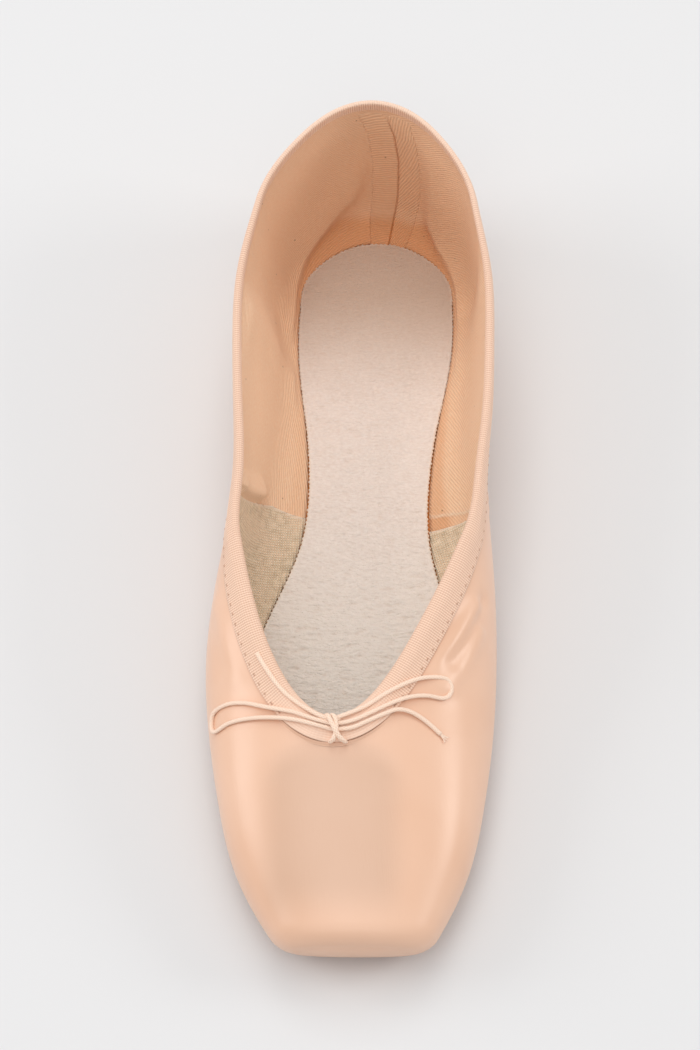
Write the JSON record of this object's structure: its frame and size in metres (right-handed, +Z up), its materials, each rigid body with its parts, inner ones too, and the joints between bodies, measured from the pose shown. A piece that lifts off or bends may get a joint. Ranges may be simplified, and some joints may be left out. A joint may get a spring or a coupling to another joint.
{
  "type": "demi-pointe shoe",
  "caption": "Soft satin ballet shoe with a small flattened toe, low collar with ribbed binding, drawstring bow at the throat, insole board and thin let-in outsole, worn for dance training.",
  "frame": {"origin": "centre of the footprint on the floor under the sole", "axes": "+Z up from the floor, toe towards -Y, heel towards +Y, +X to the right seen from the toe"},
  "size_m": [0.0765, 0.2436, 0.056],
  "materials": {
    "satin": "satin",
    "sole_leather": "suede",
    "insole_board": "brushed nap",
    "grosgrain": "ribbed",
    "braid": "matte"
  },
  "bodies": {
    "root": {"upper": "satin", "outsole": "sole_leather", "insole": "insole_board", "binding": "grosgrain", "drawstring_knot": "braid", "drawstring_loop_left": "braid", "drawstring_end_left": "braid", "drawstring_loop_right": "braid", "drawstring_end_right": "braid"}
  },
  "joints": []
}
